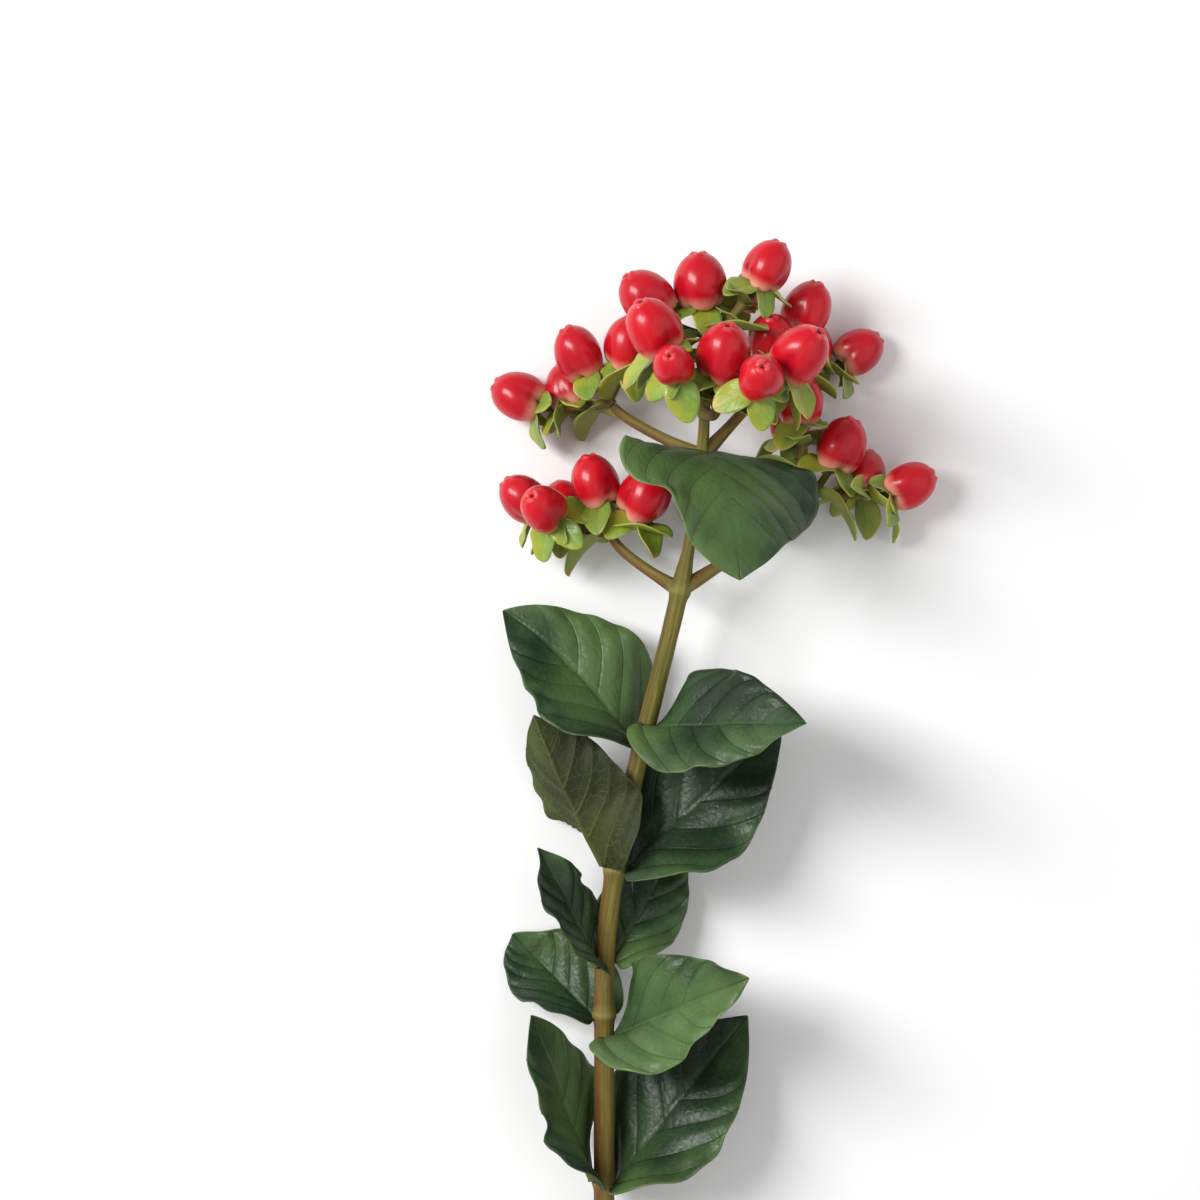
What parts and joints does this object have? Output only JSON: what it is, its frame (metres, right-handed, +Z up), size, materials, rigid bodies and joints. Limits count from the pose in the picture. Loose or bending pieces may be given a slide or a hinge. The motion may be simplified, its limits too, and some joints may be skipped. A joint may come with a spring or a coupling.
{
  "type": "hypericum berry stem",
  "caption": "Cut stem of hypericum in fruit, lying flat: glossy red berries on forked stalks over pairs of dark green leaves on a slender stem.",
  "frame": {"origin": "on the table under the middle of the part's bounding box", "axes": "+Y along the stem from its cut end to its head of berries, +Z up off the table it lies on, +X to the right seen from above with the head away from the viewer"},
  "size_m": [0.095, 0.3222, 0.0547],
  "materials": {
    "stem": "satin",
    "leaf": "satin",
    "berry": "gloss"
  },
  "bodies": {
    "root": {"stem": "stem", "leaf_1_front": "leaf", "leaf_1_back": "leaf", "leaf_2_front": "leaf", "leaf_2_back": "leaf", "leaf_3_right": "leaf", "leaf_3_left": "leaf", "leaf_4_front": "leaf", "leaf_4_back": "leaf", "leaf_4_small_left": "leaf", "leaf_4_small_right": "leaf", "leaf_5_left": "leaf", "leaf_5_right": "leaf", "leaf_6_front": "leaf", "leaf_6_back": "leaf", "spray_left": "berry", "spray_right": "berry", "spray_upper_left": "berry", "spray_upper_right": "berry", "spray_crown": "berry", "spray_top": "berry"}
  },
  "joints": []
}
